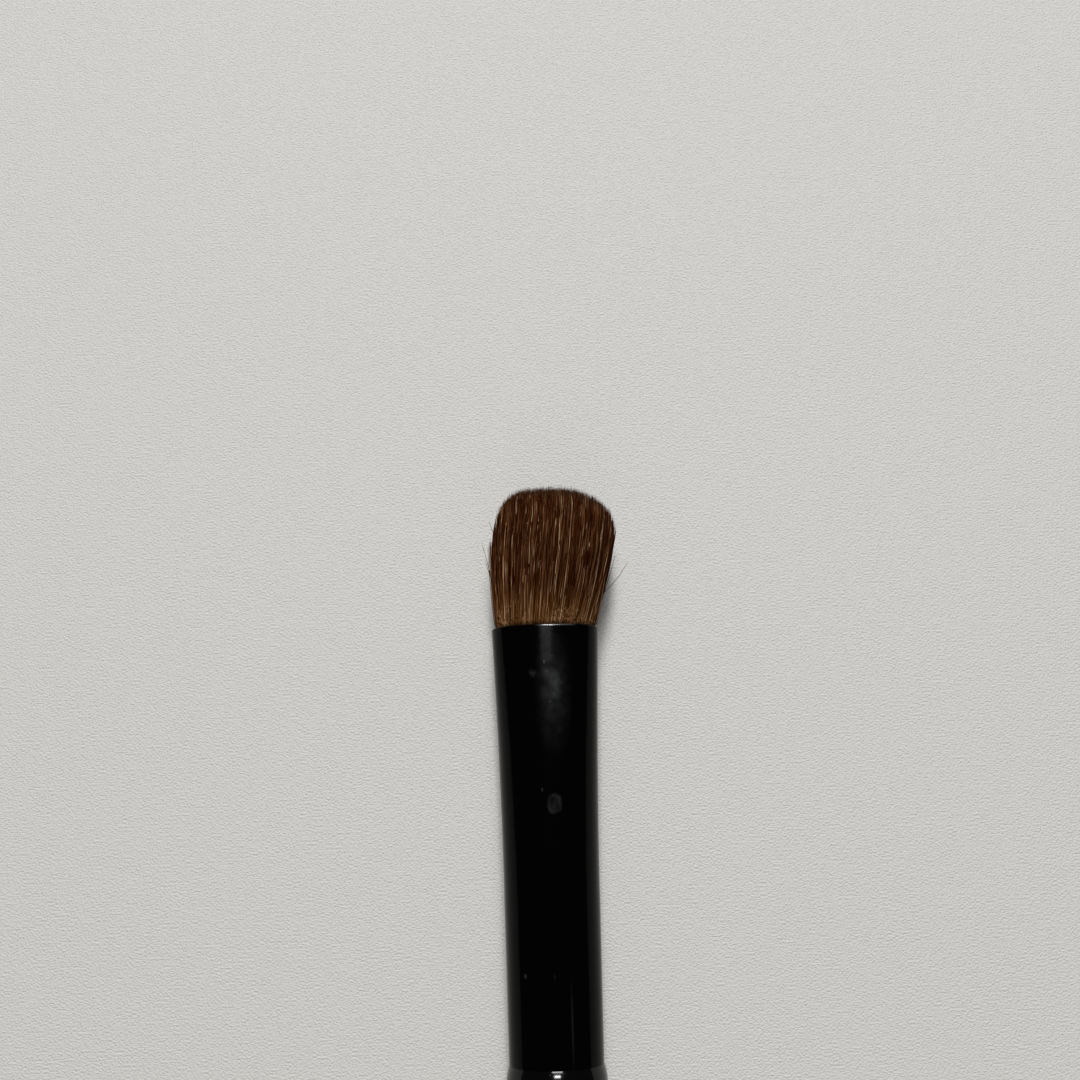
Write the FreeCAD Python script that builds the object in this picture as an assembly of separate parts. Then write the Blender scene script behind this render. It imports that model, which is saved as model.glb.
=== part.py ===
import FreeCAD
import Part

import math
import os

# A flat eyeshadow brush, lying on its handle. Millimetres and degrees.
# +Y runs along the brush to the tip of the hair, +X across its width, +Z up.
# The origin is under the middle of the length, on the surface that the brush lies on.

# Lengths along the brush, from the tip back to the tail
hair_length = 13.5
ferrule_length = 38.5
handle_length = 113.0

# Ferrule: a thin tube, slightly conical where it is round, pressed oval towards its mouth
mouth_half_width = 5.0
mouth_half_thickness = 3.5
side_arc_angle = 71.0
collar_radius = 4.2
neck_radius = 4.33
collar_length = 13.5
press_power = 1.6
press_steps = 8
ferrule_wall = 0.35
rim_round = 0.12

# Handle: lacquered wood. A round shoulder rises flush from the ferrule, then the handle swells to a
# parallel belly and is drawn out to the tail
shoulder_angle = 19.5
shoulder_round = 4.7
shoulder_slope_share = 0.04
swell_length = 35.0
belly_radius = 5.2
belly_length = 12.0
tail_radius = 2.0
swell_pull_shares = (0.4, 0.12)
taper_pull_shares = (0.3, 0.5)
tenon_relief = 1.0
tenon_chamfer = 0.6

# Glue film round the tenon, and the hairline between bonded pieces
glue_film = 0.13
bond_gap = 0.02

# Hair inside the ferrule: the clamped root, its tie and the plug of cement
hair_gap = 0.05
plug_depth = 8.5
plug_length = 7.5
tie_lead = 1.8
tie_length = 1.6
tie_tail = 1.3
thread_thickness = 0.3
plug_skin = 0.15

# Free hair: it flares out of the mouth and closes in a rounded, flat-topped crown
tuft_half_width = 5.75
tuft_half_thickness = 3.75
flare_length = 7.6
flare_steps = 5
crown_steps = 9
crown_cap_share = 0.985
crown_width_power = 2.5
crown_thickness_power = 2.1

# Places along Y, with the whole brush centred on the origin
tip_y = (hair_length + ferrule_length + handle_length) / 2
mouth_y = tip_y - hair_length
seat_y = mouth_y - ferrule_length
tail_y = seat_y - handle_length
neck_y = seat_y + collar_length
tenon_y = neck_y - tenon_relief

Vector = FreeCAD.Vector
along = Vector(0, 1, 0)


def at(radius, y):
    """A point of a turned profile: its distance from the brush's axis and its place along it."""
    return Vector(radius, y, 0)


def turned(edges):
    """The solid that a closed profile sweeps round the brush's axis."""
    return Part.makeSolid(Part.Face(Part.Wire(edges)).revolve(Vector(), along, 360))


def lines(points):
    """Straight edges through the points, in order."""
    return [Part.makeLine(a, b) for a, b in zip(points, points[1:])]


def bezier(points):
    """A Bezier edge with these poles."""
    curve = Part.BezierCurve()
    curve.setPoles(points)
    return curve.toShape()


def arc(centre, radius, start, end):
    """A circular edge in the XY plane between two angles."""
    def point(angle):
        return centre + Vector(math.cos(angle), math.sin(angle), 0) * radius

    return Part.Arc(point(start), point((start + end) / 2), point(end)).toShape()


def across(y, *places):
    """An arc in the plane across the brush, through three places given as X and Z."""
    return Part.Arc(*[Vector(x, y, z) for x, z in places]).toShape()


def side_arc(half_width, half_thickness):
    """Distance of an oval's side arcs from its middle, and their radius. A circle has no distance."""
    turn = math.radians(side_arc_angle)
    offset = (half_width - half_thickness) / (1 + math.tan(turn) - 1 / math.cos(turn))
    return offset, half_width - offset


def oval(half_width, half_thickness, y):
    """A closed outline of four tangent arcs across the brush. It is a circle where both sizes agree."""
    turn = math.radians(side_arc_angle)
    offset, radius = side_arc(half_width, half_thickness)
    joint_x = offset + radius * math.cos(turn)
    joint_z = radius * math.sin(turn)
    return Part.Wire([
        across(y, (joint_x, -joint_z), (half_width, 0), (joint_x, joint_z)),
        across(y, (joint_x, joint_z), (0, half_thickness), (-joint_x, joint_z)),
        across(y, (-joint_x, joint_z), (-half_width, 0), (-joint_x, -joint_z)),
        across(y, (-joint_x, -joint_z), (0, -half_thickness), (joint_x, -joint_z)),
    ])


def flat_oval(half_width, half_thickness, y):
    """A closed outline of two flats joined by round sides, as combed hair lies."""
    flat = half_width - half_thickness
    corner = half_thickness * math.sqrt(0.5)
    outline = []
    for side in (1, -1):
        outline.append(Part.makeLine(Vector(-side * flat, y, -side * half_thickness),
                                     Vector(side * flat, y, -side * half_thickness)))
        outline.append(across(y, (side * flat, -side * half_thickness),
                              (side * (flat + corner), -side * corner), (side * half_width, 0)))
        outline.append(across(y, (side * half_width, 0),
                              (side * (flat + corner), side * corner), (side * flat, side * half_thickness)))
    return Part.Wire(outline)


def press_at(y):
    """Half width and half thickness of the ferrule's outside, between its neck and its mouth."""
    share = ((y - neck_y) / (mouth_y - neck_y)) ** press_power
    width = neck_radius + (mouth_half_width - neck_radius) * share
    thickness = neck_radius + (mouth_half_thickness - neck_radius) * share
    return width, thickness


def pressed(start, end, inset):
    """The solid inside the pressed part of the ferrule, set in from its outside."""
    sections = []
    for step in range(press_steps + 1):
        y = start + (end - start) * step / press_steps
        width, thickness = press_at(y)
        sections.append(oval(width - inset, thickness - inset, y))
    return Part.makeLoft(sections, True, False)


def tube_core(inset):
    """The whole ferrule as a filled solid, set in from its outside."""
    collar = Part.makeCone(collar_radius - inset, neck_radius - inset, collar_length, at(0, seat_y), along)
    return collar.fuse(pressed(neck_y, mouth_y, inset))


def make_ferrule():
    """The pressed tube, with its mouth's two edges rounded."""
    tube = tube_core(0).cut(tube_core(ferrule_wall))
    rim = [edge for edge in tube.Edges if all(abs(v.Y - mouth_y) < bond_gap for v in edge.Vertexes)]
    return tube.makeFillet(rim_round, rim).removeSplitter()


def tenon_radius():
    """The tenon fills the collar's narrow end but for the glue film."""
    return collar_radius - ferrule_wall - glue_film


def make_handle():
    """The turned handle with the tenon that goes up into the ferrule."""
    swell_y = seat_y - swell_length
    belly_y = swell_y - belly_length
    dome_y = tail_y + tail_radius
    tenon = tenon_radius()
    rise, slope = math.radians(shoulder_angle), math.atan(shoulder_slope_share)
    centre = at(collar_radius - shoulder_round * math.cos(rise), seat_y - shoulder_round * math.sin(rise))
    shoulder = centre + at(math.cos(slope), math.sin(slope)) * shoulder_round
    shoulder_pull, front_pull = [swell_length * share for share in swell_pull_shares]
    back_pull, tail_pull = [(belly_y - dome_y) * share for share in taper_pull_shares]
    tip = lines([
        at(0, tenon_y),
        at(tenon - tenon_chamfer, tenon_y),
        at(tenon, tenon_y - tenon_chamfer),
        at(tenon, seat_y),
        at(collar_radius, seat_y),
    ])
    swell = bezier([
        shoulder,
        shoulder + at(shoulder_slope_share, -1) * shoulder_pull,
        at(belly_radius, swell_y + front_pull),
        at(belly_radius, swell_y),
    ])
    taper = bezier([
        at(belly_radius, belly_y),
        at(belly_radius, belly_y - back_pull),
        at(tail_radius, dome_y + tail_pull),
        at(tail_radius, dome_y),
    ])
    return turned([
        *tip,
        arc(centre, shoulder_round, rise, slope),
        swell,
        *lines([at(belly_radius, swell_y), at(belly_radius, belly_y)]),
        taper,
        arc(at(0, dome_y), tail_radius, 0, -math.pi / 2),
        *lines([at(0, tail_y), at(0, tenon_y)]),
    ])


def make_tenon_glue():
    """The film of glue between the tenon and the collar's slightly conical bore."""
    end_y = tenon_y - tenon_chamfer
    spread = (neck_radius - collar_radius) * (end_y - seat_y) / collar_length
    inner = tenon_radius() + bond_gap
    outer = collar_radius - ferrule_wall - bond_gap
    return turned(lines([
        at(inner, seat_y),
        at(outer, seat_y),
        at(outer + spread, end_y),
        at(inner, end_y),
        at(inner, seat_y),
    ]))


def tie_radius():
    """The bundle under the thread leaves room for the thread and a skin of cement in the bore."""
    return mouth_half_thickness - ferrule_wall - plug_skin - thread_thickness


def make_hair_root():
    """The clamped end of the hair: it fills the bore, then is drawn in under the thread."""
    plug_y = mouth_y - plug_depth
    tie_y = plug_y - tie_lead
    butt_length = tie_length + tie_tail
    width, thickness = [size - ferrule_wall - hair_gap for size in press_at(plug_y)]
    filled = pressed(plug_y, mouth_y, ferrule_wall + hair_gap)
    drawn = Part.makeLoft([oval(width, thickness, plug_y), oval(tie_radius(), tie_radius(), tie_y)], True, True)
    butt = Part.makeCylinder(tie_radius(), butt_length, at(0, tie_y - butt_length), along)
    return filled.fuse([drawn, butt]).removeSplitter()


def make_binding_thread():
    """The band of thread tied round the bundle, buried in the cement."""
    start_y = mouth_y - plug_depth - tie_lead - tie_length
    inner = tie_radius()
    outer = inner + thread_thickness
    return turned(lines([
        at(inner, start_y),
        at(outer, start_y),
        at(outer, start_y + tie_length),
        at(inner, start_y + tie_length),
        at(inner, start_y),
    ]))


def make_glue_plug(root, thread):
    """The cement cast round the butt of the hair inside the ferrule."""
    top = mouth_y - plug_depth
    cast = pressed(top - plug_length, top, ferrule_wall + bond_gap)
    return cast.cut(root).cut(thread)


def tuft_at(y):
    """Half width and half thickness of the free hair, between the mouth and the crown's flat top."""
    offset, radius = side_arc(mouth_half_width, mouth_half_thickness)
    base_thickness = radius - ferrule_wall - hair_gap
    base_width = base_thickness + offset
    out = y - mouth_y
    if out <= flare_length:
        share = math.sin(math.pi / 2 * out / flare_length)
        width = base_width + (tuft_half_width - base_width) * share
        return width, base_thickness + (tuft_half_thickness - base_thickness) * share
    share = crown_cap_share * (out - flare_length) / (hair_length - flare_length)
    width = tuft_half_width * (1 - share ** crown_width_power) ** (1 / crown_width_power)
    return width, tuft_half_thickness * (1 - share ** crown_thickness_power) ** (1 / crown_thickness_power)


def make_hair_tuft():
    """The free hair as one solid of its outer shape, with its sections closer together in the crown."""
    places = [mouth_y + flare_length * step / flare_steps for step in range(flare_steps)]
    crown_length = hair_length - flare_length
    for step in range(crown_steps + 1):
        places.append(mouth_y + flare_length + crown_length * math.sin(math.pi / 2 * step / crown_steps))
    return Part.makeLoft([flat_oval(*tuft_at(y), y) for y in places], True, False)


def save(name, shape):
    """Lift a finished piece onto the surface that the brush lies on, test it and write it."""
    shape = shape.copy()
    shape.translate(Vector(0, 0, belly_radius))
    box = shape.BoundBox
    print(f"{name}: {len(shape.Solids)} solid, valid {shape.isValid()}, {shape.Volume:.2f} mm3, "
          f"X {box.XMin:.2f} {box.XMax:.2f}, Y {box.YMin:.2f} {box.YMax:.2f}, Z {box.ZMin:.2f} {box.ZMax:.2f}")
    shape.exportStep(f"parts/{name}.step")


def main():
    os.makedirs("parts", exist_ok=True)
    root = make_hair_root()
    thread = make_binding_thread()
    save("handle", make_handle())
    save("ferrule", make_ferrule())
    save("tenon_glue", make_tenon_glue())
    save("hair_root", root)
    save("binding_thread", thread)
    save("glue_plug", make_glue_plug(root, thread))
    save("hair_tuft", make_hair_tuft())


main()
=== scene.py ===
"""Looks of a flat eyeshadow brush: an enamelled ferrule, a lacquered handle and a tuft of brown hair.

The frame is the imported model's: +Y runs along the brush to the tip of the hair, +X across its width and
+Z up from the surface that it lies on. Sizes are millimetres until a mesh, a lamp or the camera is made.
"""
import logging
import math
from dataclasses import dataclass, field
from enum import Enum

import bpy
import numpy as np
from bpy.types import Material, Node, NodeSocket, NodeTree, Object
from mathutils import Matrix, Vector


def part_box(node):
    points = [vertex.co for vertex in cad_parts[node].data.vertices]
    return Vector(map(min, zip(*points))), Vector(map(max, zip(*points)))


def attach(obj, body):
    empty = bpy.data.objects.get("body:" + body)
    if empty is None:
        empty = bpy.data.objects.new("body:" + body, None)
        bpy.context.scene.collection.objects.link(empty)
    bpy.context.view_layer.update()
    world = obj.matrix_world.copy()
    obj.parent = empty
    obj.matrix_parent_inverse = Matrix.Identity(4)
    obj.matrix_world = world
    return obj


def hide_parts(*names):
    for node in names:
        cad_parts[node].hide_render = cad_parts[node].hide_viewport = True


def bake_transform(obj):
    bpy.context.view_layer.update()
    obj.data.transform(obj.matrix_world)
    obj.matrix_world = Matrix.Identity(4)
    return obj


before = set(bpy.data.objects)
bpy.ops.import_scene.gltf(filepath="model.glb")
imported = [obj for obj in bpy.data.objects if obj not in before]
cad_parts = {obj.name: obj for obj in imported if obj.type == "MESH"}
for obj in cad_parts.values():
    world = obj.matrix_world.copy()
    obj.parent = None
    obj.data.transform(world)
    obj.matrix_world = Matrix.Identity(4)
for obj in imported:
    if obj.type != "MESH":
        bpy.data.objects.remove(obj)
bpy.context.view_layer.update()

MM = 0.001
TINY = 1e-9
BAKE_MAP = "OFBake"
SMOOTH = {"interpolation_type": "SMOOTHSTEP"}
HAIR_SEED = 41
GOLDEN_TURN = math.pi * (3 - math.sqrt(5))
# The bake map of the hair: V is 0 at the first distance out of the mouth and 1 a span further on
STRAND_MAP = (-1.0, 17.0)
STRAND_SIDES = 3
TONE_COLUMNS = 48

Pair = tuple[float, float]
log = logging.getLogger("brush")


def linear(code: str) -> tuple[float, float, float, float]:
    """Turn a colour as it is written into linear light.

    Args:
        code: sRGB colour such as "#3a2110".

    Returns:
        Linear red, green and blue, and an alpha of 1.
    """
    shares = [int(code[place:place + 2], 16) / 255 for place in (1, 3, 5)]
    red, green, blue = [s / 12.92 if s <= 0.04045 else ((s + 0.055) / 1.055) ** 2.4 for s in shares]
    return red, green, blue, 1.0


def feed(tree: NodeTree, node: Node, inputs: dict | tuple) -> None:
    """Feed a node's inputs.

    Args:
        tree: Node tree of the node.
        node: Node to feed.
        inputs: Constants and output sockets, by the inputs' names or in their order.
    """
    named = inputs if isinstance(inputs, dict) else dict(enumerate(inputs))
    for name, value in named.items():
        if isinstance(value, NodeSocket):
            tree.links.new(value, node.inputs[name])
        else:
            node.inputs[name].default_value = value


def add_node(tree: NodeTree, kind: str, inputs: dict | tuple = (), output: str | int = 0,
             **settings: object) -> NodeSocket:
    """Add a shader node with its settings, constants and links.

    Args:
        tree: Node tree of the material.
        kind: Type of the node, without its ShaderNode prefix.
        inputs: Constants and output sockets, by the inputs' names or in their order.
        output: Name or number of the output to give.
        settings: Properties of the node, such as operation.

    Returns:
        That output of the new node.
    """
    node = tree.nodes.new("ShaderNode" + kind)
    for name, value in settings.items():
        setattr(node, name, value)
    feed(tree, node, inputs)
    return node.outputs[output]


def millimetres(tree: NodeTree) -> NodeSocket:
    """Give the place on the piece in millimetres, from its Object coordinates."""
    place = add_node(tree, "TexCoord", output="Object")
    return add_node(tree, "VectorMath", {0: place, "Scale": 1 / MM}, operation="SCALE")


@dataclass(frozen=True)
class Finish:
    """What every finish has: its real material's name, its even values and a way to make it."""

    name: str
    roughness: float
    ior: float
    specular: float = 0.5

    def material(self) -> Material:
        """Make the node material.

        Returns:
            A material whose Principled shader has the even values and what the finish paints over them.
        """
        made = bpy.data.materials.new(self.name)
        made.use_nodes = True
        tree = made.node_tree
        even = {"Roughness": self.roughness, "IOR": self.ior, "Specular IOR Level": self.specular}
        feed(tree, tree.nodes["Principled BSDF"], even | self.paint(tree))
        return made

    def paint(self, tree: NodeTree) -> dict:
        """Add the finish's nodes to a material's tree, and give its Principled shader's inputs."""
        raise NotImplementedError


class MarkKind(Enum):
    """How a mark of use lies on a gloss surface."""

    HAZE = "a cloudy film with a soft edge"
    RING = "the dried rim of a droplet"
    SPECK = "a grain of dust"
    LINE = "a straight rub"


@dataclass(frozen=True)
class Mark:
    """One mark of use: its middle, its half sizes along X, Y and Z, and how strongly it shows."""

    kind: MarkKind
    middle: tuple[float, float, float]
    reach: tuple[float, float, float]
    strength: float
    ring_at: float = 0.66
    ring_fade: float = 0.34

    def mask(self, tree: NodeTree, place: NodeSocket) -> NodeSocket:
        """Draw the mark round its middle.

        The distance from the middle, in shares of the reach, is 1 on an ellipsoid. A mark fades out from the
        middle to that ellipsoid, but a ring is brightest at two thirds of it.

        Args:
            tree: Node tree of the material.
            place: Place on the piece in millimetres.

        Returns:
            The mark's strength at that place.
        """
        local = add_node(tree, "Mapping", {"Vector": place, "Location": self.middle, "Scale": self.reach},
                         vector_type="TEXTURE")
        away = add_node(tree, "VectorMath", (local,), "Value", operation="LENGTH")
        edge = 1.0
        if self.kind is MarkKind.RING:
            off = add_node(tree, "Math", (away, self.ring_at), operation="SUBTRACT")
            away = add_node(tree, "Math", (off,), operation="ABSOLUTE")
            edge = self.ring_fade
        return add_node(tree, "MapRange", (away, edge, 0.0, 0.0, self.strength), **SMOOTH)


@dataclass(frozen=True)
class BlackEnamel(Finish):
    """Stoved black enamel on a drawn tube: deep, glossy black, worn to bare metal on an arc of the rim.

    Finger marks, a dried droplet and dust lie on its upper face. The broad grey patch near the mouth is partly
    smudge and partly painted reflection of the lamps, and the thin streak lower down is painted reflection.
    """

    name: str = "stoved black enamel"
    body: str = "#020202"
    # Grey of the smudges and the dust, and of the painted reflection in the patch near the mouth and the
    # streak.
    film_and_sheen: str = "#4a4c4b"
    rim: str = "#6a6a6a"
    rim_roughness: float = 0.25
    rim_y: float = 68.83
    rim_fade: float = 0.04
    rim_rub: Mark = Mark(MarkKind.LINE, (1.0, 69.0, 8.6), (2.1, 1.5, 2.5), 1.0)
    roughness: float = 0.1
    film_roughness: float = 0.5
    ior: float = 1.5
    specular: float = 0.062
    peel_width: float = 1.1
    peel_depth: float = 0.0012
    cloud_width: float = 0.9
    cloud_range: Pair = (0.3, 0.65)
    cloud_shares: Pair = (0.35, 1.2)
    warp_width: float = 0.7
    warp: float = 0.55
    marks: tuple[Mark, ...] = (
        # Partly smudge, partly painted reflection: a broad grey patch near the mouth and its brighter core,
        # for the lamps' blurred reflection.
        Mark(MarkKind.HAZE, (0.6, 63.2, 8.9), (2.0, 7.5, 2.0), 0.12),
        Mark(MarkKind.HAZE, (0.8, 63.3, 8.9), (1.0, 2.3, 1.2), 0.34),
        Mark(MarkKind.HAZE, (0.18, 64.6, 8.9), (0.5, 0.6, 1.0), 0.15),
        Mark(MarkKind.HAZE, (-1.2, 64.5, 8.8), (0.5, 0.6, 1.0), 0.14),
        Mark(MarkKind.HAZE, (0.44, 52.83, 9.35), (0.75, 1.0, 1.0), 0.13),
        Mark(MarkKind.RING, (0.44, 52.83, 9.35), (0.76, 1.02, 1.0), 0.14),
        Mark(MarkKind.SPECK, (-0.17, 65.5, 8.87), (0.13, 0.32, 0.4), 0.34),
        Mark(MarkKind.SPECK, (0.65, 62.6, 8.98), (0.16, 0.2, 0.4), 0.4),
        Mark(MarkKind.SPECK, (0.3, 61.9, 9.03), (0.13, 0.2, 0.4), 0.36),
        Mark(MarkKind.SPECK, (-0.63, 54.1, 9.3), (0.1, 0.25, 0.4), 0.3),
        Mark(MarkKind.SPECK, (-2.52, 38.25, 8.72), (0.2, 0.3, 0.4), 0.32),
        Mark(MarkKind.SPECK, (0.03, 38.2, 9.53), (0.1, 0.3, 0.4), 0.12),
        # Painted reflection: a thin grey streak on the right of the ferrule, for a faint reflected light.
        Mark(MarkKind.LINE, (1.44, 34.0, 9.3), (0.14, 5.0, 0.5), 0.12),
    )

    def paint(self, tree: NodeTree) -> dict:
        """Cloud the black with marks that dull its gloss, some of them painted reflection, bare the rim and
        ripple it with fine orange peel.

        Args:
            tree: Node tree of the material.

        Returns:
            The shader's inputs.
        """
        place = millimetres(tree)
        clouds = add_node(tree, "TexNoise", {"Vector": place, "Scale": 1 / self.cloud_width, "Detail": 5.0})
        cloudy = add_node(tree, "MapRange", (clouds, *self.cloud_range, *self.cloud_shares))
        bent = add_node(tree, "TexNoise", {"Vector": place, "Scale": 1 / self.warp_width, "Detail": 2.0},
                        "Color")
        shift = add_node(tree, "VectorMath", (bent, (-0.5, -0.5, -0.5)), operation="ADD")
        moved = add_node(tree, "VectorMath", (shift, (self.warp, self.warp, 0.0), place),
                         operation="MULTIPLY_ADD")
        marks_and_sheen = 0.0
        for mark in self.marks:
            loose = mark.kind in (MarkKind.HAZE, MarkKind.RING)
            mask = mark.mask(tree, moved if loose else place)
            if loose:
                mask = add_node(tree, "Math", (mask, cloudy), operation="MULTIPLY")
            marks_and_sheen = add_node(tree, "Math", (marks_and_sheen, mask), operation="MAXIMUM")
        # The marks' grey is smudges and dust, and painted reflection in the patch near the mouth and in the
        # streak.
        colour = add_node(tree, "MixRGB", (marks_and_sheen, linear(self.body), linear(self.film_and_sheen)))
        along = add_node(tree, "SeparateXYZ", (place,), "Y")
        edge = add_node(tree, "MapRange", (along, self.rim_y, self.rim_y + self.rim_fade))
        bare = add_node(tree, "Math", (edge, self.rim_rub.mask(tree, place)), operation="MULTIPLY")
        edged = add_node(tree, "MixRGB", (bare, colour, linear(self.rim)))
        dull = add_node(tree, "MapRange", (marks_and_sheen, 0.0, 1.0, self.roughness, self.film_roughness))
        worn = add_node(tree, "MapRange", (bare, 0.0, 1.0, dull, self.rim_roughness))
        peel = add_node(tree, "TexNoise", {"Vector": place, "Scale": 1 / self.peel_width, "Detail": 1.0})
        bump = add_node(tree, "Bump", {"Height": peel, "Distance": self.peel_depth * MM})
        return {"Base Color": edged, "Metallic": bare, "Roughness": worn, "Normal": bump}


@dataclass(frozen=True)
class BlackLacquer(Finish):
    """Dipped black lacquer on turned wood: wet gloss, with the grain's faint ripple along it and dust."""

    name: str = "dipped black lacquer on wood"
    body: str = "#030303"
    dust: str = "#5a5754"
    roughness: float = 0.08
    worn_roughness: float = 0.14
    ior: float = 1.52
    specular: float = 0.25
    grain_width: float = 0.7
    grain_length: float = 14.0
    grain_depth: float = 0.0003
    dust_width: float = 0.9
    dust_edge: Pair = (0.07, 0.03)
    dust_share: float = 0.4
    wear_width: float = 7.0
    wear_range: Pair = (0.35, 0.75)

    def paint(self, tree: NodeTree) -> dict:
        """Ripple the black along the grain, dull it in soft patches and scatter dust over it.

        Args:
            tree: Node tree of the material.

        Returns:
            The shader's inputs.
        """
        place = millimetres(tree)
        fine = (1 / self.grain_width, 1 / self.grain_length, 1 / self.grain_width)
        along = add_node(tree, "Mapping", {"Vector": place, "Scale": fine})
        grain = add_node(tree, "TexNoise", {"Vector": along, "Scale": 1.0, "Detail": 3.0})
        bump = add_node(tree, "Bump", {"Height": grain, "Distance": self.grain_depth * MM})
        cells = add_node(tree, "TexVoronoi", {"Vector": place, "Scale": 1 / self.dust_width})
        grains = add_node(tree, "MapRange", (cells, *self.dust_edge, 0.0, self.dust_share), **SMOOTH)
        colour = add_node(tree, "MixRGB", (grains, linear(self.body), linear(self.dust)))
        wear = add_node(tree, "TexNoise", {"Vector": place, "Scale": 1 / self.wear_width, "Detail": 4.0})
        dull = add_node(tree, "MapRange", (wear, *self.wear_range, self.roughness, self.worn_roughness))
        return {"Base Color": colour, "Roughness": dull, "Normal": bump}


@dataclass(frozen=True)
class BrownHair(Finish):
    """Soft brown animal hair: dark, warm shafts with paler ones among them, golden and dim at the root.

    Each hair carries its tone and height in the bake map: U is the tone, and V the distance out of the mouth.
    """

    name: str = "brown animal hair"
    shadow: str = "#180200"
    umber: str = "#3b1902"
    chestnut: str = "#725034"
    straw: str = "#b49474"
    tone_steps: Pair = (0.45, 0.85)
    root: str = "#8c5f22"
    root_height: float = 4.0
    root_share: float = 0.13
    mouth_shade: float = 0.35
    mouth_height: float = 0.45
    roughness: float = 0.5
    ior: float = 1.55
    specular: float = 0.02

    def paint(self, tree: NodeTree) -> dict:
        """Step the colour through the tones, warm it from the root height down and dim it in the mouth.

        Args:
            tree: Node tree of the material.

        Returns:
            The shader's inputs.
        """
        tone = add_node(tree, "SeparateXYZ", (add_node(tree, "UVMap", uv_map=BAKE_MAP),))
        height = tone.node.outputs["Y"]
        colour = linear(self.shadow)
        first, second = self.tone_steps
        steps = ((0.0, first, self.umber), (first, second, self.chestnut), (second, 1.0, self.straw))
        for low, high, code in steps:
            share = add_node(tree, "MapRange", (tone, low, high))
            colour = add_node(tree, "MixRGB", (share, colour, linear(code)))
        lowest, span = STRAND_MAP
        mouth, root, shaded = [(out - lowest) / span for out in (0.0, self.root_height, self.mouth_height)]
        warm = add_node(tree, "MapRange", (height, root, mouth, 0.0, self.root_share), **SMOOTH)
        rooted = add_node(tree, "MixRGB", (warm, colour, linear(self.root)))
        shade = add_node(tree, "MapRange", (height, mouth, shaded, self.mouth_shade), **SMOOTH)
        return {"Base Color": add_node(tree, "VectorMath", {0: rooted, "Scale": shade}, operation="SCALE")}


@dataclass(frozen=True)
class ClampedHair(Finish):
    """The same hair packed tight inside the ferrule: fine lengthwise shafts, with painted shade between them.
    """

    name: str = "packed brown hair"
    gap_shade: str = "#241207"
    shaft: str = "#7a5430"
    shaft_width: float = 0.12
    shaft_length: float = 9.0
    shaft_depth: float = 0.03
    shaft_range: Pair = (0.35, 0.65)
    roughness: float = 0.55
    ior: float = 1.55

    def paint(self, tree: NodeTree) -> dict:
        """Stretch a noise along Y into shafts, for the relief and for the colour, darkened between the shafts
        as painted shade.

        Args:
            tree: Node tree of the material.

        Returns:
            The shader's inputs.
        """
        fine = (1 / self.shaft_width, 1 / self.shaft_length, 1 / self.shaft_width)
        along = add_node(tree, "Mapping", {"Vector": millimetres(tree), "Scale": fine})
        shafts = add_node(tree, "TexNoise", {"Vector": along, "Scale": 1.0, "Detail": 2.0})
        share = add_node(tree, "MapRange", (shafts, *self.shaft_range))
        # Painted shade: the colour darkens between the shafts.
        colour = add_node(tree, "MixRGB", (share, linear(self.gap_shade), linear(self.shaft)))
        bump = add_node(tree, "Bump", {"Height": share, "Distance": self.shaft_depth * MM})
        return {"Base Color": colour, "Normal": bump}


@dataclass(frozen=True)
class CastBond(Finish):
    """A cured glue or cement: tinted, half gloss, with flow clouds and small trapped bubbles."""

    name: str = "cured white wood glue"
    thin: str = "#d8c79a"
    thick: str = "#b39a62"
    cloud_width: float = 2.2
    bubble_width: float = 0.6
    bubble_depth: float = 0.03
    bubble_share: float = 0.3
    roughness: float = 0.35
    ior: float = 1.47

    def paint(self, tree: NodeTree) -> dict:
        """Drift the colour between thin and thick, and dent the surface with round bubbles.

        Args:
            tree: Node tree of the material.

        Returns:
            The shader's inputs.
        """
        place = millimetres(tree)
        flow = add_node(tree, "TexNoise", {"Vector": place, "Scale": 1 / self.cloud_width, "Detail": 3.0})
        colour = add_node(tree, "MixRGB", (flow, linear(self.thin), linear(self.thick)))
        cells = add_node(tree, "TexVoronoi", {"Vector": place, "Scale": 1 / self.bubble_width})
        dents = add_node(tree, "MapRange", (cells, 0.0, self.bubble_share), **SMOOTH)
        bump = add_node(tree, "Bump", {"Height": dents, "Distance": self.bubble_depth * MM})
        return {"Base Color": colour, "Normal": bump}


@dataclass(frozen=True)
class WaxedThread(Finish):
    """Waxed cotton thread wound round the bundle: pale turns side by side, with the grooves between them
    darkened as painted shade.
    """

    name: str = "waxed cotton thread"
    crest: str = "#d9cfb8"
    groove_shade: str = "#7f745c"
    turn_width: float = 0.32
    turn_depth: float = 0.08
    roughness: float = 0.7
    ior: float = 1.53

    def paint(self, tree: NodeTree) -> dict:
        """Repeat a sine along Y once a turn, for the relief of the turns and for their colour, darkened in the
        grooves as painted shade.

        Args:
            tree: Node tree of the material.

        Returns:
            The shader's inputs.
        """
        along = add_node(tree, "SeparateXYZ", (millimetres(tree),), "Y")
        angle = add_node(tree, "Math", (along, 2 * math.pi / self.turn_width), operation="MULTIPLY")
        wave = add_node(tree, "Math", (angle,), operation="SINE")
        share = add_node(tree, "MapRange", (wave, -1.0))
        # Painted shade: the colour darkens into the grooves between the turns.
        colour = add_node(tree, "MixRGB", (share, linear(self.groove_shade), linear(self.crest)))
        bump = add_node(tree, "Bump", {"Height": share, "Distance": self.turn_depth * MM})
        return {"Base Color": colour, "Normal": bump}


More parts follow.
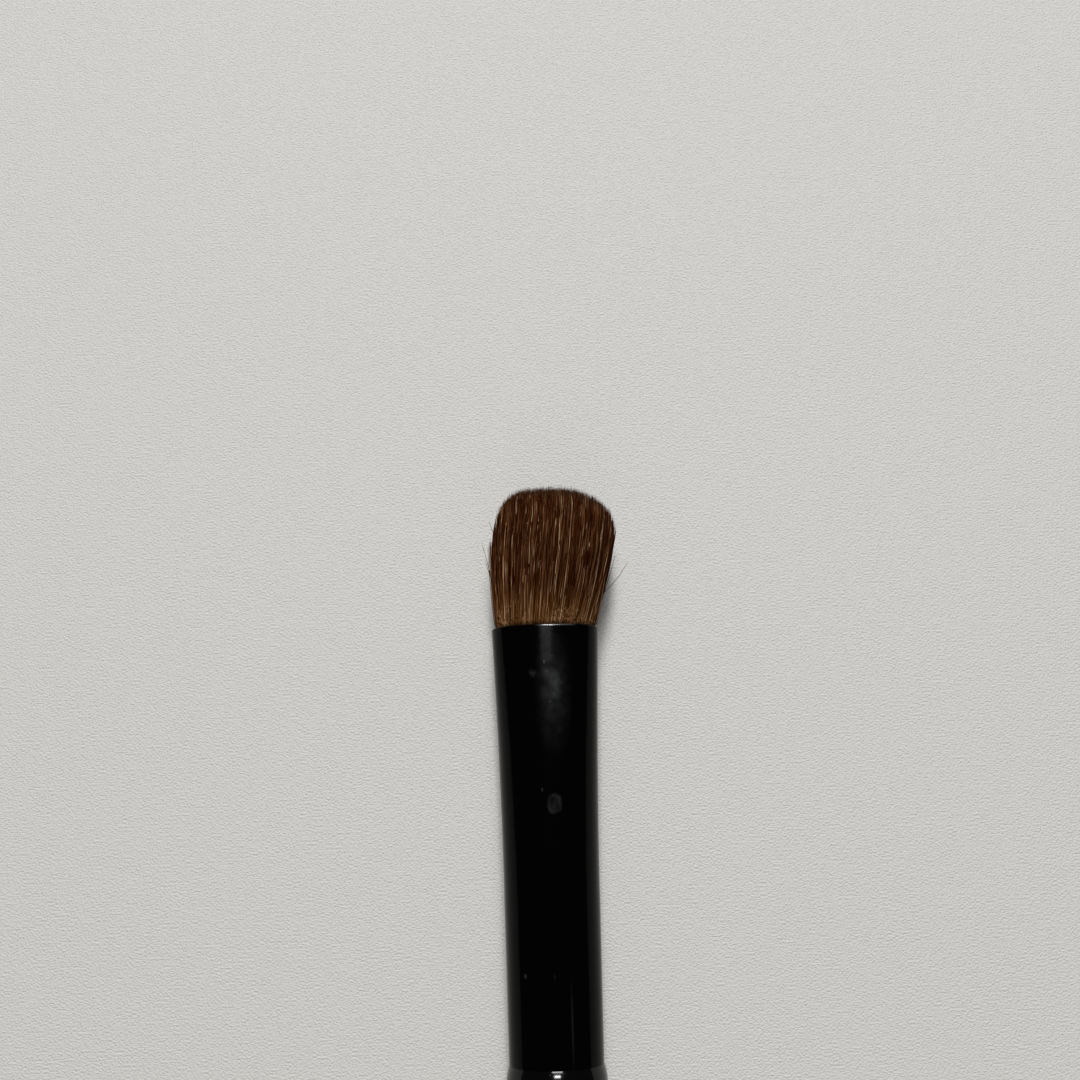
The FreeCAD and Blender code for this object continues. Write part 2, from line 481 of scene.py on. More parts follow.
@dataclass(frozen=True)
class PaleTable(Finish):
    """A pale grey coated table top: satin, with a fine pebbled grain that only shows against the light."""

    name: str = "pale coated board"
    body: str = "#c9c7c3"
    grain_width: float = 0.19
    grain_depth: float = 0.13
    roughness: float = 0.6
    ior: float = 1.45

    def paint(self, tree: NodeTree) -> dict:
        """Keep one pale colour and pebble it finely.

        Args:
            tree: Node tree of the material.

        Returns:
            The shader's inputs.
        """
        place = millimetres(tree)
        grain = add_node(tree, "TexNoise", {"Vector": place, "Scale": 1 / self.grain_width, "Detail": 1.0})
        bump = add_node(tree, "Bump", {"Height": grain, "Distance": self.grain_depth * MM})
        return {"Base Color": linear(self.body), "Normal": bump}


def map_places(across: tuple, up: tuple) -> np.ndarray:
    """Pair the places of the faces' corners across and up the map."""
    return np.stack([np.stack(across, -1), np.stack(up, -1)], -1)


@dataclass
class Surface:
    """A mesh as whole arrays: points in millimetres, faces of four and three corners, and the bake map."""

    points: np.ndarray
    quads: np.ndarray
    triangles: np.ndarray
    quad_map: np.ndarray
    triangle_map: np.ndarray

    def piece(self, name: str, material: Material) -> Object:
        """Put the arrays into a new object at the origin.

        Args:
            name: Name of the piece.
            material: Material of all its faces.

        Returns:
            The object, with smooth faces and the bake map.
        """
        mesh = bpy.data.meshes.new(name)
        corners = np.concatenate([self.quads.ravel(), self.triangles.ravel()])
        starts = np.concatenate([4 * np.arange(len(self.quads)),
                                 self.quads.size + 3 * np.arange(len(self.triangles))])
        mesh.vertices.add(len(self.points))
        mesh.vertices.foreach_set("co", (self.points * MM).ravel())
        mesh.loops.add(len(corners))
        mesh.loops.foreach_set("vertex_index", corners)
        mesh.polygons.add(len(starts))
        mesh.polygons.foreach_set("loop_start", starts)
        mesh.polygons.foreach_set("use_smooth", np.ones(len(starts), bool))
        mesh.update(calc_edges=True)
        layer = mesh.uv_layers.new(name=BAKE_MAP)
        places = np.concatenate([self.quad_map.reshape(-1, 2), self.triangle_map.reshape(-1, 2)])
        layer.uv.foreach_set("vector", places.astype(np.float32).ravel())
        mesh.materials.append(material)
        made = bpy.data.objects.new(name, mesh)
        bpy.context.scene.collection.objects.link(made)
        return made


@dataclass
class Strands:
    """Many hairs at once: a row per hair, a column per ring, and one more for the tip in path and out."""

    path: np.ndarray
    radius: np.ndarray
    tone: np.ndarray
    out: np.ndarray

    def chosen(self, hairs: np.ndarray, step: int = 1) -> "Strands":
        """Take some of the hairs.

        Args:
            hairs: True for each hair to take.
            step: Takes every ring for 1, every second ring for 2 and so on; the tip always stays.

        Returns:
            Those hairs alone.
        """
        kept = np.append(np.arange(0, self.radius.shape[1], step), self.radius.shape[1])
        rings = kept[:-1]
        return Strands(self.path[hairs][:, kept], self.radius[hairs][:, rings], self.tone[hairs][:, rings],
                       self.out[hairs][:, kept])

    def surface(self) -> Surface:
        """Close a thin three-sided tube round each path.

        A ring's corners are its path point plus the radius times (cos f, 0, sin f) for three angles f, so
        that rings lie across Y. The root is closed by one triangle, and the tip by three that meet in the
        last point. On the map each hair follows its tone, in a column whose width its sides share.

        Returns:
            The tubes of all hairs.
        """
        count, rings = self.radius.shape
        angle = 2 * np.pi * np.arange(STRAND_SIDES) / STRAND_SIDES
        spokes = np.stack([np.cos(angle), np.zeros(STRAND_SIDES), np.sin(angle)], 1)
        corners = self.path[:, :-1, None, :] + self.radius[:, :, None, None] * spokes
        stride = rings * STRAND_SIDES + 1
        points = np.concatenate([corners.reshape(count, -1, 3), self.path[:, -1:]], 1).reshape(-1, 3)

        first = stride * np.arange(count)[:, None, None]
        ring = STRAND_SIDES * np.arange(rings)[None, :, None]
        side = np.arange(STRAND_SIDES)[None, None, :]
        here = first + ring + side
        beside = first + ring + (side + 1) % STRAND_SIDES
        quads = np.stack([here[:, :-1], here[:, 1:], beside[:, 1:], beside[:, :-1]], -1)
        tip = np.broadcast_to(first[:, 0] + stride - 1, (count, STRAND_SIDES))
        tips = np.stack([here[:, -1], tip, beside[:, -1]], -1)
        triangles = np.concatenate([tips.reshape(-1, 3), here[:, 0].reshape(-1, 3)])

        lowest, span = STRAND_MAP
        height = (self.out - lowest) / span
        column = self.tone[..., None] * (TONE_COLUMNS - 1)
        near = np.broadcast_to((column + side / STRAND_SIDES) / TONE_COLUMNS, here.shape)
        far = near + 1 / (STRAND_SIDES * TONE_COLUMNS)
        level = np.broadcast_to(height[:, :-1, None], here.shape)
        quad_map = map_places((near[:, :-1], near[:, 1:], far[:, 1:], far[:, :-1]),
                              (level[:, :-1], level[:, 1:], level[:, 1:], level[:, :-1]))
        top = np.broadcast_to(height[:, -1:], (count, STRAND_SIDES))
        tip_map = map_places((near[:, -1], (near[:, -1] + far[:, -1]) / 2, far[:, -1]),
                             (level[:, -1], top, level[:, -1]))
        butt_map = np.stack([near[:, 0], level[:, 0]], -1)
        butt_map[:, 1, 1] -= 1 / (4 * TONE_COLUMNS)
        triangle_map = np.concatenate([tip_map.reshape(-1, 3, 2), butt_map.reshape(-1, 3, 2)])
        return Surface(points, quads.reshape(-1, 4), triangles, quad_map.reshape(-1, 4, 2), triangle_map)


@dataclass
class Wisp:
    """Hairs that stand off the tuft together: where they leave and end, as X and distance from the mouth."""

    leaves: Pair
    ends: Pair
    height: float
    bow: float
    hairs: int = 1
    spread: float = 0.0
    tone: float = 0.12


@dataclass
class HairTuft:
    """The free hair: thousands of fine hairs in locks, with frizzy underfur at the mouth and a few strays.

    A hair keeps its place in the tuft's section, which grows from the mouth's oval to the full one by a
    quarter sine, flattens towards the tip and ends on a rounded crown.
    """

    mouth_y: float
    axis_z: float
    length: float
    half_width: float
    half_thickness: float
    base_half_width: float = 4.53
    base_half_thickness: float = 3.08
    squareness: float = 2.5
    flare_length: float = 9.0
    crown_edge: float = 8.0
    crown_power: float = 3.2
    crown_skew: float = 0.23
    crown_depth_share: float = 0.6
    flat_start: float = 6.0
    flat_share: float = 0.55
    side_room: float = 0.12
    lean: float = 1.32
    lean_length: float = 11.0
    lean_power: float = 0.9
    sunk: float = 0.8
    locks: int = 3500
    hairs_per_lock: int = 3
    lock_spread: float = 0.012
    lock_gather: float = 0.3
    lock_ragged: float = 0.07
    hair_ragged: float = 0.19
    trim: float = 0.14
    short_share: float = 0.14
    short_length: float = 2.6
    hair_radius: float = 0.038
    thickness_range: Pair = (0.75, 1.15)
    tip_radius: float = 0.024
    taper_start: float = 0.7
    taper_power: float = 1.5
    sway: float = 0.035
    ripple: Pair = (0.008, 0.03)
    ripple_length: float = 4.5
    rings: int = 11
    last_ring: float = 0.92
    tone_waves: tuple[float, ...] = (0.9, 2.3, 5.1)
    wave_tone: float = 0.2
    lock_tone: float = 0.35
    highest_tone: float = 0.88
    # Painted glints: the tone rises and falls along each hair, as glints along it would.
    glint_tone_change: float = 0.16
    glint_length: float = 3.6
    pale_share: float = 0.11
    pale_tones: Pair = (0.8, 1.1)
    root_tone: float = 0.16
    # Painted shade and light: darker towards the tips, paler to the left and darker to the right.
    painted_tip_shade: float = 0.07
    painted_side_light: float = 0.055
    root_length: float = 3.5
    heart: float = 0.7
    heart_step: int = 2
    edge_sunk: float = 0.3
    wool_count: int = 1000
    wool_depth: float = 0.85
    wool_proud: float = 1.01
    wool_radius: float = 0.046
    wool_taper: float = 0.5
    wool_height: float = 1.9
    wool_shortest: float = 0.15
    wool_least: float = 0.35
    wool_crimp: float = 0.17
    wool_slack: float = 0.4
    wool_straight: float = 0.6
    wool_flat: float = 0.7
    wool_pitch: float = 0.62
    wool_tangle: float = 0.3
    wool_rings: int = 14
    wool_last_ring: float = 0.94
    wool_peak: float = 0.3
    wool_peaks_apart: float = 1.05
    wool_dip: float = 0.45
    wool_dark_share: float = 0.45
    wool_tones: Pair = (0.25, 0.95)
    wool_tone_range: Pair = (-0.2, 0.05)
    stub_count: int = 130
    stub_depth: float = 0.95
    stub_proud: float = 1.015
    stub_length: float = 2.6
    stub_least: float = 0.08
    stub_thickness: Pair = (0.8, 1.2)
    stub_tones: Pair = (0.5, 1.0)
    stub_last_ring: float = 0.98
    stray_radius: float = 0.05
    stray_taper: float = 0.6
    stray_spread: tuple[float, float, float] = (1.0, 6.0, 3.0)
    stray_tone: float = 3.0
    stray_last_ring: float = 0.95
    wisps: tuple[Wisp, ...] = (
        Wisp((-4.7, 3.6), (-5.75, 8.3), 0.2, 0.06),
        Wisp((-4.72, 4.2), (-5.45, 6.6), 0.6, -0.04),
        Wisp((-4.4, 8.2), (-5.05, 10.4), 0.4, 0.05),
        Wisp((5.7, 3.4), (8.05, 6.35), -0.4, 0.22),
        Wisp((5.2, 2.2), (6.85, 6.9), 0.3, 0.08),
        Wisp((-4.45, 0.6), (-4.98, 8.3), 0.3, -0.1, 24, 0.07, 0.6),
        # Painted shade: a dark wisp just inside the pale left lock, for the shade beside it.
        Wisp((-4.4, 0.8), (-4.8, 7.8), 0.5, -0.08, 12, 0.07, 0.2),
        Wisp((5.6, 5.0), (6.8, 9.6), 0.6, 0.05, 10, 0.06, 0.5),
        Wisp((4.75, 1.0), (6.3, 8.4), 1.3, 0.05, 4, 0.05, 0.85),
    )
    random: np.random.Generator = field(default_factory=lambda: np.random.default_rng(HAIR_SEED))

    def squared(self, disc: np.ndarray) -> np.ndarray:
        """Move points of the unit disc to a squarer oval.

        Each point keeps its direction, and the sum of its powers |a|^m + |b|^m becomes its old radius^m.

        Args:
            disc: Points in the unit disc, with the pair in the last axis.

        Returns:
            Places a across and b through the section, from -1 to 1.
        """
        radius = np.linalg.norm(disc, axis=-1, keepdims=True)
        power = (np.abs(disc) ** self.squareness).sum(-1, keepdims=True) ** (1 / self.squareness)
        return disc * radius / np.maximum(power, TINY)

    def reach(self, place: np.ndarray) -> np.ndarray:
        """Give the length of a hair that ends on the crown.

        The crown is e + (length - e) (1 - r^p)^(1/p), with e the crown's edge and r the section's power
        radius, where the place through the section counts less. The place across is skewed by
        a + k (1 - a^2), which moves the crown's top off the middle.

        Args:
            place: Places a and b in the section.

        Returns:
            Distance of each tip from the mouth.
        """
        across = place[..., 0] + self.crown_skew * (1 - place[..., 0] ** 2)
        through = self.crown_depth_share * place[..., 1]
        m = self.squareness
        radius = (np.abs(across) ** m + np.abs(through) ** m) ** (1 / m)
        dome = (1 - np.clip(radius, 0, 1) ** self.crown_power) ** (1 / self.crown_power)
        return self.crown_edge + (self.length - self.crown_edge) * dome

    def path(self, place: np.ndarray, out: np.ndarray) -> np.ndarray:
        """Carry places in the section along the tuft.

        A point is (a w + l, y, z + b t (1 - f)): the section's half width w and half thickness t grow by a
        quarter sine, the lean l by a power and the flattening f by a square of the distance from the mouth.

        Args:
            place: Places a and b in the section, one pair per point.
            out: Distance of each point from the mouth.

        Returns:
            Points in millimetres.
        """
        flare = np.sin(np.pi / 2 * np.clip(out / self.flare_length, 0, 2))
        lean = self.lean * np.clip(out / self.lean_length, 0, 1) ** self.lean_power
        flat = self.flat_share * np.clip((out - self.flat_start) / (self.length - self.flat_start), 0, 1) ** 2
        width = self.base_half_width + (self.half_width - self.side_room - self.base_half_width) * flare
        thickness = self.base_half_thickness + (self.half_thickness - self.base_half_thickness) * flare
        x = place[..., 0] * width + lean
        z = self.axis_z + place[..., 1] * thickness * (1 - flat)
        return np.stack([x, self.mouth_y + out, z], -1)

    @staticmethod
    def ring_shares(rings: int, last: float) -> np.ndarray:
        """Space rings evenly from 0 to the last one's share of a hair's length, and add the tip at 1."""
        return np.append(np.linspace(0, last, rings), 1.0)

    def long_hair(self) -> tuple[Strands, np.ndarray]:
        """Grow the long hairs in locks.

        Lock i lies at radius sqrt(i) and angle i times the golden turn, as seeds do in a sunflower. Its hairs
        are strewn round it and gather to it towards their tips, with the square of their share of the length.
        The tone is partly the lock's, shaded by slow waves across the tuft, partly the hair's, and a sine
        along it that paints glints. It grows paler to the root, paler to the left as painted light and darker
        to the tips as painted shade.

        Returns:
            The hairs, and each one's point in the unit disc of the section.
        """
        index = np.arange(self.locks)
        spread = np.sqrt((index + 0.5) / self.locks)
        middle = np.stack([spread * np.cos(index * GOLDEN_TURN), spread * np.sin(index * GOLDEN_TURN)], 1)
        lock = np.repeat(index, self.hairs_per_lock)
        count = len(lock)
        disc = middle[lock] + self.random.normal(0, self.lock_spread, (count, 2))
        disc /= np.maximum(np.linalg.norm(disc, axis=1, keepdims=True), 1)
        place, centre = self.squared(disc), self.squared(middle)[lock]

        ragged = self.random.normal(0, self.lock_ragged, self.locks)[lock]
        ragged += self.random.normal(0, self.hair_ragged, count)
        cut = self.random.random(count) < self.short_share
        ragged -= cut * self.random.random(count) * self.short_length
        length = self.reach(place) - self.trim + ragged
        share = self.ring_shares(self.rings, self.last_ring)
        out = -self.sunk + (length[:, None] + self.sunk) * share
        grown = np.clip(out / self.length, 0, 1)[..., None]
        wander = self.random.normal(0, self.sway, (self.locks, 1, 2))[lock]
        wander = wander + self.random.normal(0, self.sway / 2, (count, 1, 2))
        phase = self.random.uniform(0, 2 * np.pi, (count, 1, 2))
        ripple = np.array(self.ripple) * np.sin(2 * np.pi * out[..., None] / self.ripple_length + phase)
        gather = self.lock_gather * grown ** 2 * (centre - place)[:, None]
        where = place[:, None] + gather + wander * grown + ripple * np.sqrt(grown)
        path = self.path(where, out)

        thick = self.hair_radius * self.random.uniform(*self.thickness_range, (count, 1))
        taper = np.clip((share[:-1] - self.taper_start) / (1 - self.taper_start), 0, 1) ** self.taper_power
        radius = thick + (self.tip_radius - thick) * taper
        phase = self.random.uniform(0, 2 * np.pi, len(self.tone_waves))
        across = self.squared(middle)[:, :1]
        waves = np.sin(2 * np.pi * np.array(self.tone_waves) * across + phase).mean(1)
        locks_tone = self.random.random(self.locks) + self.wave_tone * waves
        hairs_tone = self.random.random(count)
        tone = self.highest_tone * (self.lock_tone * locks_tone[lock] + (1 - self.lock_tone) * hairs_tone)
        pale = self.random.random(count) < self.pale_share
        tone = np.where(pale, self.random.uniform(*self.pale_tones, count), tone)[:, None]
        phase = self.random.uniform(0, 2 * np.pi, (count, 1))
        # Painted glints: a sine along each hair brightens and dims its tone.
        tone = tone + self.glint_tone_change * np.sin(2 * np.pi * out[:, :-1] / self.glint_length + phase)
        tone += self.root_tone * np.clip(1 - out[:, :-1] / self.root_length, 0, 1)
        # Painted shade towards the tips; painted light to the left and painted shade to the right.
        tone -= self.painted_tip_shade * grown[:, :-1, 0] + self.painted_side_light * place[:, :1]
        return Strands(path, radius, np.clip(tone, 0, 1), out), disc

    def rim_places(self, count: int, deepest: float) -> np.ndarray:
        """Strew places near the cover of the section.

        Args:
            count: Number of places.
            deepest: Least share of the section's radius.

        Returns:
            Places a and b in the section.
        """
        angle = self.random.uniform(0, 2 * np.pi, count)
        depth = np.sqrt(self.random.uniform(deepest ** 2, 1.0, count))
        return self.squared(depth[:, None] * np.stack([np.cos(angle), np.sin(angle)], 1))

    def wool(self) -> Strands:
        """Curl short, pale underfur round the mouth.

        A hair of the underfur runs up near the cover and winds round its own line in a small helix. Its
        height rises and falls across the tuft as a cosine.

        Returns:
            The underfur's hairs.
        """
        count = self.wool_count
        place = self.rim_places(count, self.wool_depth)
        wave = np.cos(2 * np.pi * (place[:, 0] - self.wool_peak) / self.wool_peaks_apart)
        hill = 1 - self.wool_dip + self.wool_dip * wave
        length = self.wool_height * hill * self.random.uniform(self.wool_shortest, 1.0, count)
        length += self.wool_least
        share = self.ring_shares(self.wool_rings, self.wool_last_ring)
        out = -self.edge_sunk + (length[:, None] + self.edge_sunk) * share
        path = self.path(self.wool_proud * place[:, None] + np.zeros((1, len(share), 1)), out)
        turn = 2 * np.pi * out / self.wool_pitch + self.random.uniform(0, 2 * np.pi, (count, 1))
        crimp = self.wool_crimp * self.random.uniform(self.wool_slack, 1.0, (count, 1))
        crimp = crimp * np.clip(out + self.edge_sunk, 0, self.wool_straight) / self.wool_straight
        tangle = self.random.normal(0, self.wool_tangle, (count, 1)) * np.clip(out, 0, None)
        path[..., 0] += (crimp * np.cos(turn) + tangle) * np.abs(place[:, 1:])
        path[..., 2] += self.wool_flat * crimp * np.sin(turn)
        radius = self.wool_radius * (1 - self.wool_taper * share[:-1] ** 2) * np.ones((count, 1))
        dark = self.random.random((count, 1)) < self.wool_dark_share
        tone = np.where(dark, *self.wool_tones)
        tone = tone + self.random.uniform(*self.wool_tone_range, (count, self.wool_rings))
        return Strands(path, radius, tone, out)

    def stubs(self) -> Strands:
        """Stand short, straight hairs with blunt pale ends on the cover, near the mouth.

        Returns:
            The short hairs.
        """
        count = self.stub_count
        place = self.rim_places(count, self.stub_depth)
        length = self.stub_length * np.sqrt(self.random.uniform(self.stub_least, 1.0, count))
        share = self.ring_shares(self.rings, self.stub_last_ring)
        out = -self.edge_sunk + (length[:, None] + self.edge_sunk) * share
        path = self.path(self.stub_proud * place[:, None] + np.zeros((1, len(share), 1)), out)
        even = np.ones(self.rings)
        radius = self.hair_radius * self.random.uniform(*self.stub_thickness, (count, 1)) * even
        tone = self.random.uniform(*self.stub_tones, (count, 1)) * even
        return Strands(path, radius, tone, out)

    def stray_hair(self) -> Strands:
        """Lay each wisp's hairs from their place on the tuft to their end, bowed by a half sine.

        Returns:
            The hairs of all wisps.
        """
        share = self.ring_shares(self.rings, self.stray_last_ring)
        of_wisp = np.repeat(np.arange(len(self.wisps)), [wisp.hairs for wisp in self.wisps])
        count = len(of_wisp)
        start, end = [np.array(ends)[of_wisp][:, None] for ends in (
            [wisp.leaves for wisp in self.wisps], [wisp.ends for wisp in self.wisps])]
        height, bow, spread, tone = np.array(
            [[wisp.height, wisp.bow, wisp.spread, wisp.tone] for wisp in self.wisps])[of_wisp].T[..., None]
        off = spread[..., None] * self.random.normal(0, 1, (count, 1, 3)) * np.array(self.stray_spread)
        line = start + (end - start) * share[:, None] + off[..., :2]
        x = line[..., 0] + bow * np.sin(np.pi * share)
        z = np.broadcast_to(self.axis_z + height + off[..., 2], x.shape)
        path = np.stack([x, self.mouth_y + line[..., 1], z], -1)
        radius = self.stray_radius * (1 - self.stray_taper * share[:-1]) * np.ones((count, 1))
        change = self.random.uniform(-self.stray_tone, self.stray_tone, (count, 1))
        tone = np.clip(tone + spread * change, 0, 1)
        return Strands(path, radius, tone * np.ones(self.rings), line[..., 1])

    def build(self) -> list[Object]:
        """Make the hair's pieces.

        Returns:
            The heart, the upper and lower cover, the underfur, the stubs and the strays.
        """
        hair = BrownHair().material()
        long_hair, disc = self.long_hair()
        inner = np.linalg.norm(disc, axis=1) < self.heart
        upper = disc[:, 1] >= 0
        groups = {
            "tuft_heart": long_hair.chosen(inner, self.heart_step),
            "tuft_cover_upper": long_hair.chosen(~inner & upper),
            "tuft_cover_lower": long_hair.chosen(~inner & ~upper),
            "tuft_underfur": self.wool(),
            "tuft_short_hairs": self.stubs(),
            "tuft_stray_hairs": self.stray_hair(),
        }
        made = [strands.surface().piece(name, hair) for name, strands in groups.items()]
        for piece in made:
            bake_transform(piece)
            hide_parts("hair_tuft")
        return made


@dataclass
class BrushBody:
    """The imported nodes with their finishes; pieces of their own stand in for the handle's and the tuft's."""

    finishes: tuple[tuple[str, Finish], ...] = (
        ("handle", BlackLacquer()),
        ("ferrule", BlackEnamel()),
        ("tenon_glue", CastBond()),
        ("hair_root", ClampedHair()),
        ("binding_thread", WaxedThread()),
        ("glue_plug", CastBond("amber hair cement", thin="#a8752e", thick="#6e4716", cloud_width=1.6,
                               bubble_width=0.5, bubble_depth=0.04, roughness=0.25, ior=1.55)),
        ("hair_tuft", ClampedHair("combed brown hair")),
    )

    def dress(self) -> list[Object]:
        """Put each finish on its node.

        Returns:
            The dressed nodes.
        """
        dressed = []
        for name, finish in self.finishes:
            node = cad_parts[name]
            material = finish.material()
            for slot in node.material_slots:
                slot.material = material
            dressed.append(node)
        return dressed


@dataclass
class TurnedHandle:
    """The handle as one surface turned from its profile, so that its gloss runs unbroken to the tail.

    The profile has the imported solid's sizes: a tenon, a round shoulder, a swell to a parallel belly, a
    drawn-out taper and a domed tail.
    """

    tail_y: float
    seat_y: float
    tenon_y: float
    axis_z: float
    tenon_radius: float = 3.72
    tenon_chamfer: float = 0.6
    collar_radius: float = 4.2
    shoulder_angle: float = 19.5
    shoulder_round: float = 4.7
    shoulder_slope: float = 0.04
    swell_length: float = 35.0
    swell_pulls: Pair = (0.4, 0.12)
    belly_radius: float = 5.2
    belly_length: float = 12.0
    taper_pulls: Pair = (0.3, 0.5)
    tail_radius: float = 2.0
    crease_angle: float = 15.0
    rings: int = 28
    sides: int = 96

    def arc(self, centre: np.ndarray, radius: float, start: float, end: float) -> np.ndarray:
        """Give points of a circular arc, centre + radius (cos, sin), between two angles in radians."""
        angle = np.linspace(start, end, self.rings)[:, None]
        return centre + radius * np.concatenate([np.cos(angle), np.sin(angle)], 1)

    def pulled(self, poles: list[Pair]) -> np.ndarray:
        """Draw a cubic Bezier curve, with weights (1-t)^3, 3t(1-t)^2, 3t^2(1-t) and t^3 on its poles.

        Args:
            poles: Its four poles, as distance from the axis and place along Y.

        Returns:
            Points of the curve, evenly spaced in t.
        """
        t = np.linspace(0, 1, 2 * self.rings)[:, None]
        weights = np.concatenate([(1 - t) ** 3, 3 * t * (1 - t) ** 2, 3 * t ** 2 * (1 - t), t ** 3], 1)
        return weights @ np.array(poles)

    def profile(self) -> np.ndarray:
        """Draw the profile from the tenon's end to the tail's dome.

        Returns:
            Distance from the axis and place along Y of each ring, without the two ends on the axis.
        """
        rise, slope = math.radians(self.shoulder_angle), math.atan(self.shoulder_slope)
        centre = np.array([self.collar_radius - self.shoulder_round * math.cos(rise),
                           self.seat_y - self.shoulder_round * math.sin(rise)])
        shoulder = self.arc(centre, self.shoulder_round, rise, slope)
        swell_y = self.seat_y - self.swell_length
        belly_y = swell_y - self.belly_length
        dome_y = self.tail_y + self.tail_radius
        first, second = [self.swell_length * share for share in self.swell_pulls]
        start_r, start_y = shoulder[-1]
        swell = self.pulled([(start_r, start_y), (start_r + self.shoulder_slope * first, start_y - first),
                             (self.belly_radius, swell_y + second), (self.belly_radius, swell_y)])
        first, second = [(belly_y - dome_y) * share for share in self.taper_pulls]
        taper = self.pulled([(self.belly_radius, belly_y), (self.belly_radius, belly_y - first),
                             (self.tail_radius, dome_y + second), (self.tail_radius, dome_y)])
        dome = self.arc(np.array([0.0, dome_y]), self.tail_radius, 0, -math.pi / 2)
        tenon = np.array([(self.tenon_radius - self.tenon_chamfer, self.tenon_y),
                          (self.tenon_radius, self.tenon_y - self.tenon_chamfer),
                          (self.tenon_radius, self.seat_y)])
        return np.concatenate([tenon, shoulder, swell[1:], taper, dome[1:-1]])

    def surface(self) -> Surface:
        """Turn the profile round the axis.

        A point is (r cos t, y, z + r sin t), and the map unrolls the surface: U is t's share of a turn and V
        the share of the profile's length.

        Returns:
            The closed surface.
        """
        drawn = self.profile()
        count, sides = len(drawn), self.sides
        turn = 2 * np.pi * np.arange(sides) / sides
        rings = np.stack([drawn[:, :1] * np.cos(turn), np.repeat(drawn[:, 1:], sides, 1),
                          self.axis_z + drawn[:, :1] * np.sin(turn)], -1)
        ends = np.array([[0.0, self.tenon_y, self.axis_z], [0.0, self.tail_y, self.axis_z]])
        points = np.concatenate([rings.reshape(-1, 3), ends])
        here = np.arange(count * sides).reshape(count, sides)
        beside = np.roll(here, -1, 1)
        quads = np.stack([here[:-1], beside[:-1], beside[1:], here[1:]], -1).reshape(-1, 4)
        top, bottom = [np.full(sides, count * sides + end) for end in (0, 1)]
        triangles = np.concatenate([np.stack([top, beside[0], here[0]], -1),
                                    np.stack([bottom, here[-1], beside[-1]], -1)])
        whole = np.concatenate([[(0.0, self.tenon_y)], drawn, [(0.0, self.tail_y)]])
        run = np.append(0.0, np.cumsum(np.linalg.norm(np.diff(whole, axis=0), axis=1)))
        run = run / run[-1]
        near = np.arange(sides) / sides
        far = near + 1 / sides
        level = np.repeat(run[1:-1, None], sides, 1)
        left, right = [np.broadcast_to(edge, (count - 1, sides)) for edge in (near, far)]
        quad_map = map_places((left, right, right, left), (level[:-1], level[:-1], level[1:], level[1:]))
        middle = (near + far) / 2
        caps = [map_places((middle, far, near), (np.zeros(sides), level[0], level[0])),
                map_places((middle, near, far), (np.ones(sides), level[-1], level[-1]))]
        return Surface(points, quads, triangles, quad_map.reshape(-1, 4, 2), np.concatenate(caps))

    def build(self, lacquer: Material) -> list[Object]:
        """Make the handle's piece in place of its solid.

        Args:
            lacquer: The handle's material.

        Returns:
            The piece alone.
        """
        made = self.surface().piece("turned_handle", lacquer)
        made.data.set_sharp_from_angle(angle=math.radians(self.crease_angle))
        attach(made, "brush")
        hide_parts("handle")
        return [made]


@dataclass(frozen=True)
class SoftLamp:
    """A soft rectangular lamp that faces the brush's mouth: degrees off the zenith to +X and to +Y."""

    name: str
    aside: float
    ahead: float
    distance: float
    width: float
    height: float
    power: float

    def hang(self, target: Vector) -> None:
        """Hang the lamp.

        Args:
            target: The point that it faces, in metres.
        """
        aside, ahead = [math.tan(math.radians(angle)) for angle in (self.aside, self.ahead)]
        away = Vector((aside, ahead, 1)).normalized()
        across = (Vector((1, 0, 0)) - away * away.x).normalized()
        light = bpy.data.lights.new(self.name, "AREA")
        light.shape = "RECTANGLE"
        light.size = self.width * MM
        light.size_y = self.height * MM
        light.energy = self.power
        lamp = bpy.data.objects.new(self.name, light)
        facing = Matrix((across, away.cross(across), away)).transposed().to_4x4()
        lamp.matrix_world = Matrix.Translation(target + away * self.distance * MM) @ facing
        bpy.context.scene.collection.objects.link(lamp)


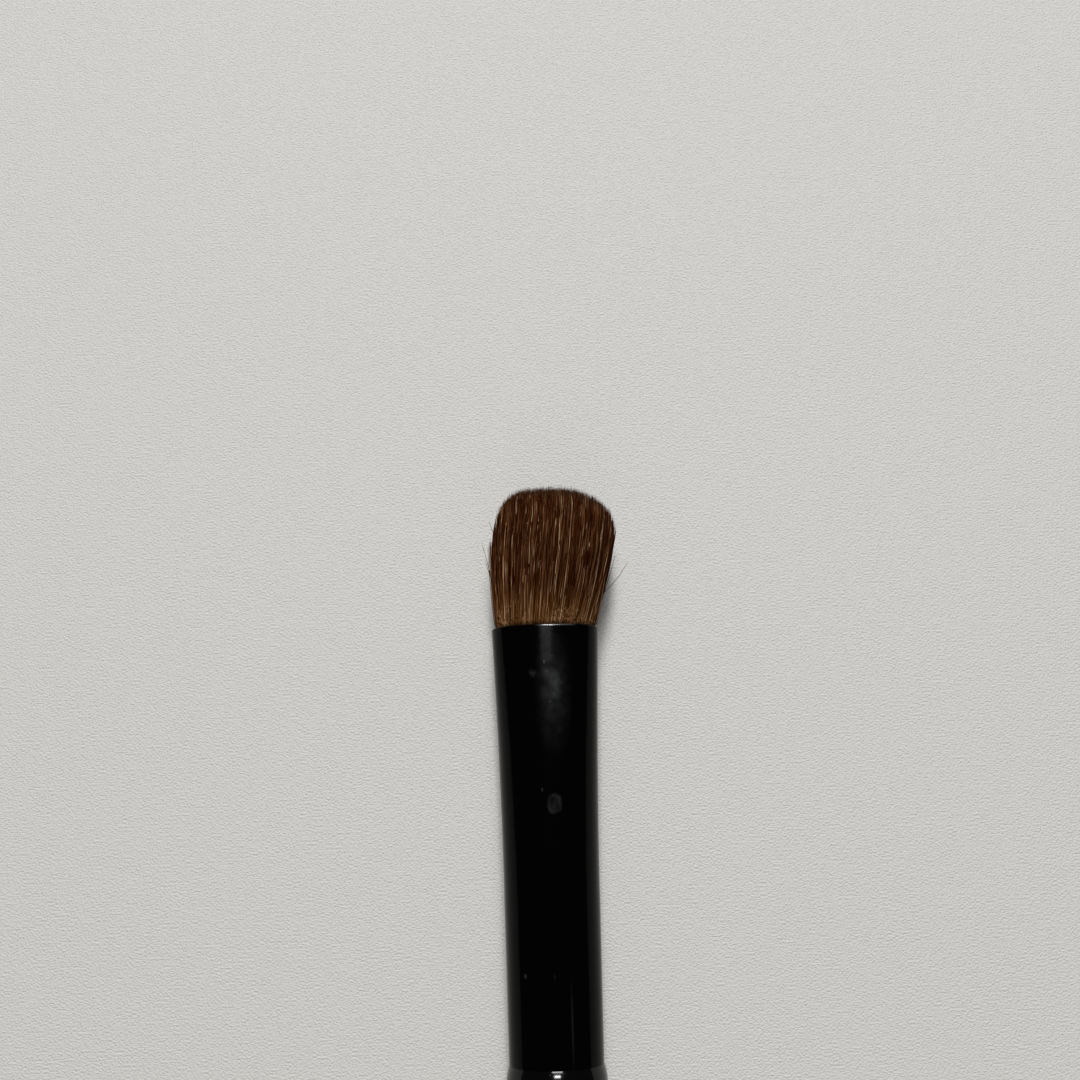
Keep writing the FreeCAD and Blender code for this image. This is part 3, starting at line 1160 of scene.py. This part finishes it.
@dataclass
class Studio:
    """Plain floor, soft lamps, dim surroundings and a camera above the mouth that looks a little past it."""

    mouth_y: float
    axis_z: float
    floor_half: float = 3000.0
    room: str = "#424243"
    room_strength: float = 1.0
    view_angle: float = 43.11
    camera_tilt: float = 11.879
    camera_roll: float = -1.544
    camera_side: float = -0.23
    camera_back: float = 18.19
    camera_rise: float = 127.07
    lamps: tuple[SoftLamp, ...] = (
        SoftLamp("far_panel", 1.0, 27.8, 1200.0, 460.0, 70.0, 3.6),
        SoftLamp("near_panel", 1.0, 17.8, 1200.0, 270.0, 75.0, 4.6),
        SoftLamp("front_box", 0.5, 40.0, 2200.0, 280.0, 520.0, 28.0),
        SoftLamp("back_box", 0.0, -52.0, 1100.0, 700.0, 350.0, 0.6),
    )

    def floor(self) -> None:
        """Lay the floor as one flat square round the brush."""
        half = self.floor_half
        corners = np.array([[-half, -half, 0.0], [half, -half, 0.0], [half, half, 0.0], [-half, half, 0.0]])
        places = np.array([[[0.0, 0.0], [1.0, 0.0], [1.0, 1.0], [0.0, 1.0]]])
        flat = Surface(corners, np.array([[0, 1, 2, 3]]), np.zeros((0, 3), int), places, np.zeros((0, 3, 2)))
        made = flat.piece("floor", PaleTable().material())

    def light(self) -> None:
        """Dim the surroundings and hang the lamps."""
        world = bpy.data.worlds.new("dim room")
        world.use_nodes = True
        tree = world.node_tree
        feed(tree, tree.nodes["Background"], {"Color": linear(self.room), "Strength": self.room_strength})
        bpy.context.scene.world = world
        for lamp in self.lamps:
            lamp.hang(Vector((0, self.mouth_y, self.axis_z)) * MM)

    def camera(self) -> None:
        """Set up the camera, tilted towards the tip and rolled so that the brush leans a little left."""
        lens = bpy.data.cameras.new("camera")
        lens.angle = math.radians(self.view_angle)
        lens.clip_start = MM
        made = bpy.data.objects.new("camera", lens)
        y, z = self.mouth_y - self.camera_back, self.axis_z + self.camera_rise
        place = Vector((self.camera_side, y, z)) * MM
        tilt = Matrix.Rotation(math.radians(self.camera_tilt), 4, "X")
        roll = Matrix.Rotation(math.radians(self.camera_roll), 4, "Z")
        made.matrix_world = Matrix.Translation(place) @ tilt @ roll
        bpy.context.scene.collection.objects.link(made)
        bpy.context.scene.camera = made

    def build(self) -> None:
        """Set up the floor, the light, the camera and the plain view transform."""
        self.floor()
        self.light()
        self.camera()
        bpy.context.scene.view_settings.view_transform = "Standard"


def main() -> None:
    """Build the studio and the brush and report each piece."""
    logging.basicConfig(level=logging.INFO, format="%(message)s")
    low, high = [np.array(corner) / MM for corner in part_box("hair_tuft")]
    half_width, _, half_thickness = (high - low) / 2
    axis_z = (low[2] + high[2]) / 2
    Studio(mouth_y=low[1], axis_z=axis_z).build()
    pieces = BrushBody().dress()
    (_, tail_y, _), (_, tenon_y, _) = [np.array(corner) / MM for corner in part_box("handle")]
    seat_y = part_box("ferrule")[0][1] / MM
    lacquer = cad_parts["handle"].material_slots[0].material
    pieces += TurnedHandle(tail_y, seat_y, tenon_y, axis_z).build(lacquer)
    pieces += HairTuft(low[1], axis_z, high[1] - low[1], half_width, half_thickness).build()
    for piece in pieces:
        log.info("%s: %d faces, %s", piece.name, len(piece.data.polygons), piece.data.materials[0].name)


if __name__ == "__main__":
    main()
